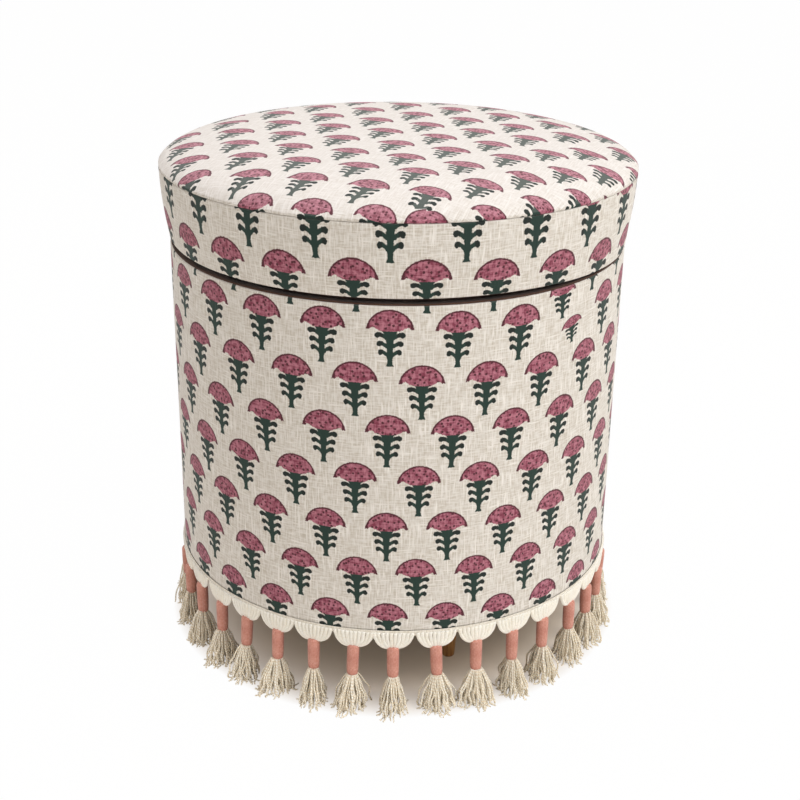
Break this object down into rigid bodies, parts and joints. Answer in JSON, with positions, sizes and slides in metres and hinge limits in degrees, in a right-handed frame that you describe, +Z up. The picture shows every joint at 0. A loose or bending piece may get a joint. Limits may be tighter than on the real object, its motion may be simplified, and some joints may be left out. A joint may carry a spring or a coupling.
{
  "type": "tuffet",
  "caption": "Round upholstered storage stool with a padded lift-off lid, a lined well, tapered wooden legs and a tasselled fringe round its foot.",
  "frame": {"origin": "on the floor, under the middle of the drum", "axes": "+Z up along the drum's own axis; -Y is the front, the side that the picture shows"},
  "size_m": [0.4287, 0.4288, 0.4493],
  "materials": {
    "plywood": "sanded birch plywood",
    "bent_hardboard": "smooth pressed board",
    "stained_wood": "dark brown stain, satin",
    "turned_wood": "turned and oiled, satin",
    "printed_cloth": "slubby linen and cotton cloth with a block print in madder pink and bottle green",
    "calico_lining": "plain unbleached calico",
    "black_cambric": "thin non-woven cloth",
    "polyester_wadding": "soft fibre, matt",
    "upholstery_foam": "open-cell foam, matt",
    "cream_braid": "ribbed cotton braid",
    "cotton_yarn": "soft twisted cotton yarn",
    "coral_thread": "close wound cotton thread"
  },
  "bodies": {
    "drum": {"base_panel": "plywood", "dust_cover": "black_cambric", "drum_shell": "bent_hardboard", "drum_wadding": "polyester_wadding", "rim_ring": "stained_wood", "post_1": "plywood", "post_2": "plywood", "post_3": "plywood", "post_4": "plywood", "drum_cover": "printed_cloth", "well_lining": "calico_lining", "leg_1": "turned_wood", "leg_2": "turned_wood", "leg_3": "turned_wood", "leg_4": "turned_wood", "fringe_heading": "cream_braid", "tassel_01": "cotton_yarn", "tassel_02": "cotton_yarn", "tassel_03": "cotton_yarn", "tassel_04": "cotton_yarn", "tassel_05": "cotton_yarn", "tassel_06": "cotton_yarn", "tassel_07": "cotton_yarn", "tassel_08": "cotton_yarn", "tassel_09": "cotton_yarn", "tassel_10": "cotton_yarn", "tassel_11": "cotton_yarn", "tassel_12": "cotton_yarn", "tassel_13": "cotton_yarn", "tassel_14": "cotton_yarn", "tassel_15": "cotton_yarn", "tassel_16": "cotton_yarn", "tassel_17": "cotton_yarn", "tassel_18": "cotton_yarn", "tassel_19": "cotton_yarn", "tassel_20": "cotton_yarn", "tassel_21": "cotton_yarn", "tassel_22": "cotton_yarn", "tassel_23": "cotton_yarn", "tassel_24": "cotton_yarn", "tassel_25": "cotton_yarn", "tassel_26": "cotton_yarn", "tassel_27": "cotton_yarn", "tassel_28": "cotton_yarn", "tassel_29": "cotton_yarn", "tassel_30": "cotton_yarn", "tassel_31": "cotton_yarn", "tassel_32": "cotton_yarn", "tassel_33": "cotton_yarn", "tassel_34": "cotton_yarn", "tassel_35": "cotton_yarn"},
    "lid": {"lid_board": "plywood", "lid_lining": "calico_lining", "locating_ring": "stained_wood", "foam_pad": "upholstery_foam", "lid_boxing": "printed_cloth", "lid_top_panel": "printed_cloth"}
  },
  "joints": [
    {"name": "lid_lift", "type": "slide", "parent": "drum", "child": "lid", "axis": [0, 0, 1], "range_m": [0, 0.25]}
  ]
}
